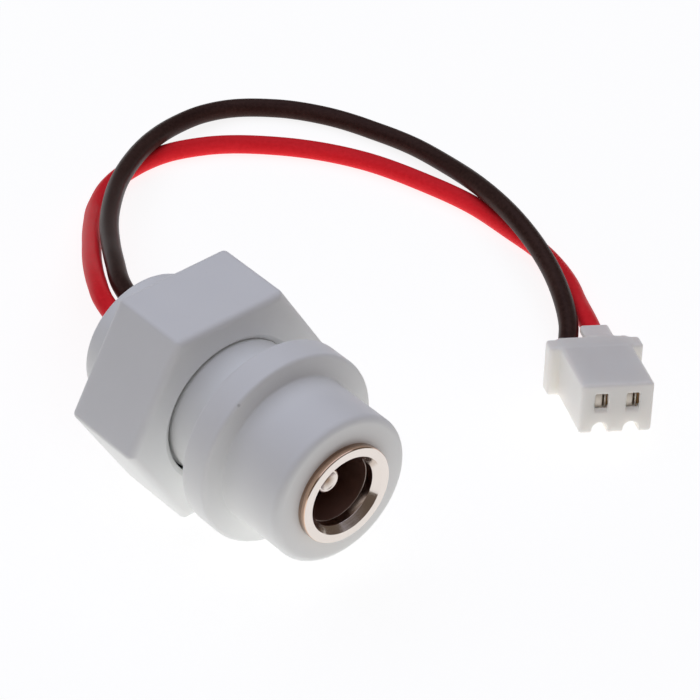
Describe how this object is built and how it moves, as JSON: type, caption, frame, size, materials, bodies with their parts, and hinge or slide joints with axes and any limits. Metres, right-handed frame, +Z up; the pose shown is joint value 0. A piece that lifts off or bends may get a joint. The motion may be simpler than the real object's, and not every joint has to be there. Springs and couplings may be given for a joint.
{
  "type": "panel-mount power socket with wire lead",
  "caption": "White panel socket for a barrel power plug with a hexagon panel nut, and a red and black wire lead that ends in a small two-way plug housing.",
  "frame": {"origin": "on the table under the middle of the socket, which lies on one flat of its nut", "axes": "+Z up from the table, the socket's axis along Y with its mouth towards -Y and its wires leaving towards +Y, +X towards the lead's loop"},
  "size_m": [0.0502, 0.0574, 0.017],
  "materials": {
    "white_nylon": "moulded nylon with a soft satin surface",
    "nickel_plate": "turned brass with bright nickel plating",
    "black_plastic": "moulded black plastic",
    "spring_bronze": "rolled phosphor bronze strip",
    "solder": "frozen tin solder",
    "red_sleeve": "shrunk polyolefin sleeve",
    "black_sleeve": "shrunk polyolefin sleeve",
    "potting": "cured potting resin",
    "red_insulation": "extruded vinyl insulation",
    "black_insulation": "extruded vinyl insulation",
    "copper_strands": "twisted tinned copper strands",
    "natural_nylon": "moulded natural nylon, slightly translucent",
    "contact_brass": "stamped and rolled brass strip"
  },
  "bodies": {
    "root": {"socket_body": "white_nylon", "hex_nut": "white_nylon", "mouth_bush": "nickel_plate", "jack_insulator": "black_plastic", "centre_pin": "nickel_plate", "sleeve_spring": "spring_bronze", "red_solder": "solder", "black_solder": "solder", "red_shrink": "red_sleeve", "black_shrink": "black_sleeve", "rear_seal": "potting", "red_wire": "red_insulation", "black_wire": "black_insulation", "red_strands": "copper_strands", "black_strands": "copper_strands", "connector_housing": "natural_nylon", "contact_red": "contact_brass", "contact_black": "contact_brass"}
  },
  "joints": []
}
